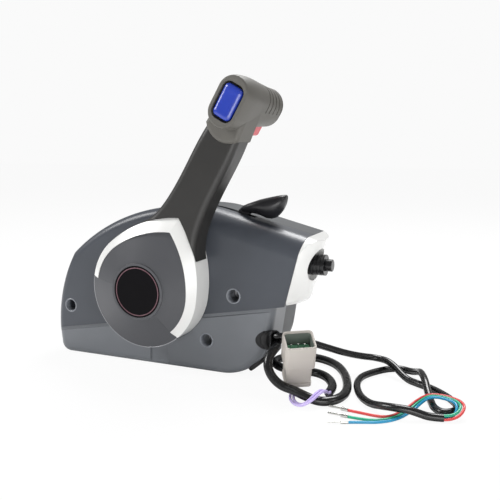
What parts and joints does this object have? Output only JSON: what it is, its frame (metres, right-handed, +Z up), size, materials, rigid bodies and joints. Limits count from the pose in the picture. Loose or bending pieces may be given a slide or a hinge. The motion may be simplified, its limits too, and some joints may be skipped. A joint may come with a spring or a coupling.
{
  "type": "boat throttle control lever",
  "caption": "Side-mount boat throttle and shift lever: moulded case, swinging lever with trim rocker and neutral lock, fast-idle lever, stop switch and leads.",
  "frame": {"origin": "on the lever shaft's axis at the rear mounting face", "axes": "+Y out of the mounting face into the boat's side, +X aft, +Z up"},
  "size_m": [0.4171, 0.1481, 0.2743],
  "materials": {
    "case_grey": "satin moulded",
    "rear_grey": "moulded",
    "trim_white": "gloss moulded",
    "lever_grey": "fine grained",
    "hub_grey": "fine grained",
    "badge_black": "polished, bare",
    "rocker_blue": "gloss moulded",
    "trigger_red": "moulded",
    "black_plastic": "moulded",
    "steel": "machined",
    "zinc_steel": "zinc plated",
    "bronze": "sintered",
    "nylon": "moulded nylon",
    "spring_steel": "rolled strip",
    "black_rubber": "moulded",
    "cord_black": "glossy extruded",
    "connector_grey": "moulded",
    "wedge_green": "moulded",
    "red_insulation": "extruded",
    "green_insulation": "extruded",
    "blue_insulation": "extruded",
    "purple_insulation": "extruded",
    "tinned_brass": "tinned"
  },
  "bodies": {
    "casing": {"front_cover": "case_grey", "lower_fore_cover": "case_grey", "lower_aft_cover": "case_grey", "rear_housing": "rear_grey", "mounting_sleeves": "steel", "case_screws": "zinc_steel", "end_panel": "trim_white", "stop_switch_body": "black_plastic", "stop_switch_nut": "black_plastic", "front_bush": "bronze", "rear_bush": "bronze", "shift_pin": "steel", "throttle_pin": "steel", "neutral_lock_plate": "zinc_steel", "detent_roller": "steel", "detent_spring": "spring_steel", "neutral_switch": "black_plastic", "cable_clamp": "black_plastic", "cable_gland": "black_rubber", "cover_plug": "black_rubber", "cable_tie": "black_plastic", "connector_shell": "connector_grey", "connector_wedge": "wedge_green", "connector_pins": "tinned_brass", "main_harness_sheath": "cord_black", "trim_cable_sheath": "cord_black", "red_wire": "red_insulation", "green_wire": "green_insulation", "blue_wire": "blue_insulation", "purple_wire_inner": "purple_insulation", "purple_wire_outer": "purple_insulation", "wire_terminals": "tinned_brass"},
    "lever": {"lever_arm": "lever_grey", "grip": "lever_grey", "trim_switch_body": "black_plastic", "rocker_pin": "steel", "hub_cap": "hub_grey", "hub_band": "trim_white", "hub_badge": "badge_black", "hub_screw": "zinc_steel", "main_shaft": "steel", "drive_gear": "nylon", "detent_wheel": "nylon"},
    "shift": {"shift_gear": "nylon"},
    "throttle": {"throttle_arm": "zinc_steel"},
    "rocker": {"trim_rocker": "rocker_blue"},
    "lock": {"lock_trigger": "trigger_red", "lock_rod": "steel"},
    "fast_idle": {"fast_idle_lever": "black_plastic"},
    "plunger": {"stop_plunger": "black_plastic"}
  },
  "joints": [
    {"name": "lever_swing", "type": "hinge", "parent": "casing", "child": "lever", "pos_m": [0, -0.06, 0], "axis": [0, 1, 0], "range_deg": [-90, 40]},
    {"name": "shift_turn", "type": "hinge", "parent": "casing", "child": "shift", "pos_m": [-0.04924, -0.045, -0.00868], "axis": [0, 1, 0], "range_deg": [-40, 90]},
    {"name": "throttle_turn", "type": "hinge", "parent": "casing", "child": "throttle", "pos_m": [0.048, -0.022, 0.028], "axis": [0, 1, 0], "range_deg": [-31.5, 14]},
    {"name": "rocker_tilt", "type": "hinge", "parent": "lever", "child": "rocker", "pos_m": [0.09775, -0.109, 0.16931], "axis": [0.866, 0, -0.5], "range_deg": [-7, 7], "stiffness_Nm_per_rad": 0.12},
    {"name": "lock_pull", "type": "slide", "parent": "lever", "child": "lock", "axis": [0.5, 0, 0.866], "range_m": [0, 0.005], "stiffness_N_per_m": 300, "springref_m": -0.004},
    {"name": "idle_lift", "type": "hinge", "parent": "casing", "child": "fast_idle", "pos_m": [0, -0.038, 0], "axis": [0, 1, 0], "range_deg": [-30, 0]},
    {"name": "stop_pull", "type": "slide", "parent": "casing", "child": "plunger", "axis": [1, 0, 0], "range_m": [0, 0.0035], "stiffness_N_per_m": 300, "springref_m": -0.003}
  ],
  "couplings": [
    {"joint": "shift_turn", "follows": "lever_swing", "ratio": -1},
    {"joint": "throttle_turn", "follows": "lever_swing", "ratio": 0.35}
  ]
}
